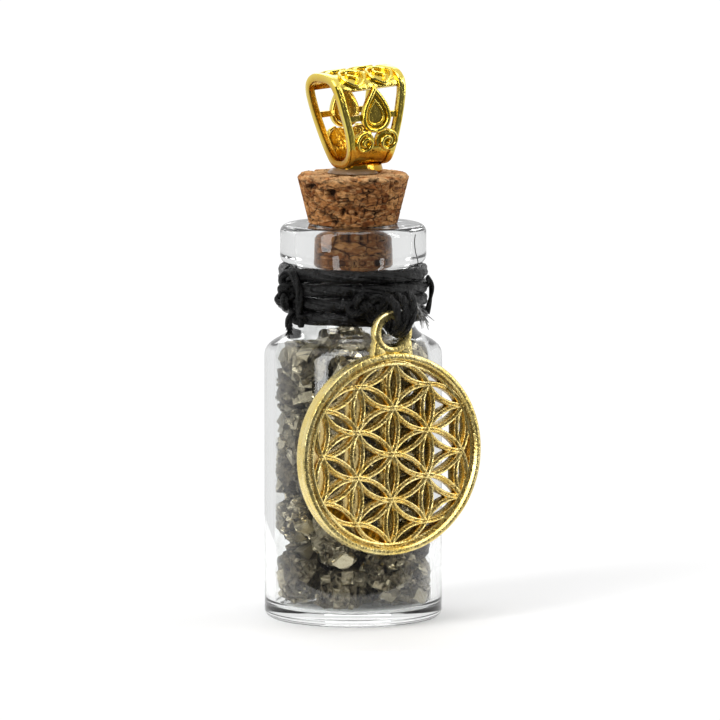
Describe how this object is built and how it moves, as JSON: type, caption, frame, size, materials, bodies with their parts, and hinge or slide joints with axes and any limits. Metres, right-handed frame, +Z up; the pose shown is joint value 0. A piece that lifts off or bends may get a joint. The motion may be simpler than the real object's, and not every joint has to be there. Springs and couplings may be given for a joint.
{
  "type": "corked bottle pendant",
  "caption": "Mini glass bottle of pyrite chips with a cork, an openwork gold bail on top and an openwork gold disc charm hung from a black cord round its neck.",
  "frame": {"origin": "centre of the bottle's flat base, on the surface it stands on", "axes": "+Z up the bottle's axis to the bail, -Y the side the charm hangs on and faces, X along the bail's tunnel"},
  "size_m": [0.0207, 0.0213, 0.0559],
  "materials": {
    "bottle_glass": "clear soda glass, polished",
    "cork": "agglomerate cork, matt, with dark pits and pale grains",
    "bright_gold": "bright gold plating, polished",
    "antique_gold": "antique gold plating, satin, darker in its recesses",
    "waxed_cord": "black waxed braid, low sheen",
    "clear_glue": "clear set glue, glossy",
    "pyrite": "rough pyrite with bright metallic crystal faces"
  },
  "bodies": {
    "bottle": {"glass_bottle": "bottle_glass", "neck_cord": "waxed_cord", "side_knot": "waxed_cord", "side_loose_end": "waxed_cord", "frayed_end": "waxed_cord", "charm_knot": "waxed_cord", "chip_01": "pyrite", "chip_02": "pyrite", "chip_03": "pyrite", "chip_04": "pyrite", "chip_05": "pyrite", "chip_06": "pyrite", "chip_07": "pyrite", "chip_08": "pyrite", "chip_09": "pyrite", "chip_10": "pyrite", "chip_11": "pyrite", "chip_12": "pyrite", "chip_13": "pyrite", "chip_14": "pyrite", "chip_15": "pyrite", "chip_16": "pyrite", "chip_17": "pyrite", "chip_18": "pyrite", "chip_19": "pyrite", "chip_20": "pyrite", "chip_21": "pyrite", "chip_22": "pyrite", "chip_23": "pyrite", "chip_24": "pyrite", "chip_25": "pyrite", "chip_26": "pyrite", "chip_27": "pyrite", "chip_28": "pyrite", "chip_29": "pyrite", "chip_30": "pyrite", "chip_31": "pyrite", "chip_32": "pyrite", "chip_33": "pyrite", "chip_34": "pyrite", "chip_35": "pyrite", "chip_36": "pyrite", "chip_37": "pyrite", "chip_38": "pyrite", "chip_39": "pyrite", "chip_40": "pyrite", "chip_41": "pyrite", "chip_42": "pyrite", "chip_43": "pyrite", "chip_44": "pyrite", "chip_45": "pyrite"},
    "stopper": {"cork_stopper": "cork", "bail_peg": "bright_gold", "glue_bead": "clear_glue", "bail": "bright_gold"},
    "charm_cord": {"hanger_bight": "waxed_cord"},
    "charm": {"charm": "antique_gold"}
  },
  "joints": [
    {"name": "stopper_pull", "type": "slide", "parent": "bottle", "child": "stopper", "axis": [0, 0, 1], "range_m": [0, 0.014]},
    {"name": "charm_sway", "type": "hinge", "parent": "bottle", "child": "charm_cord", "pos_m": [-0.00119, -0.0083, 0.0325], "axis": [0, 1, 0], "range_deg": [-22, 22]},
    {"name": "charm_flap", "type": "hinge", "parent": "charm_cord", "child": "charm", "pos_m": [-0.00119, -0.0101, 0.03175], "axis": [-1, 0, 0], "range_deg": [0, 80]}
  ]
}
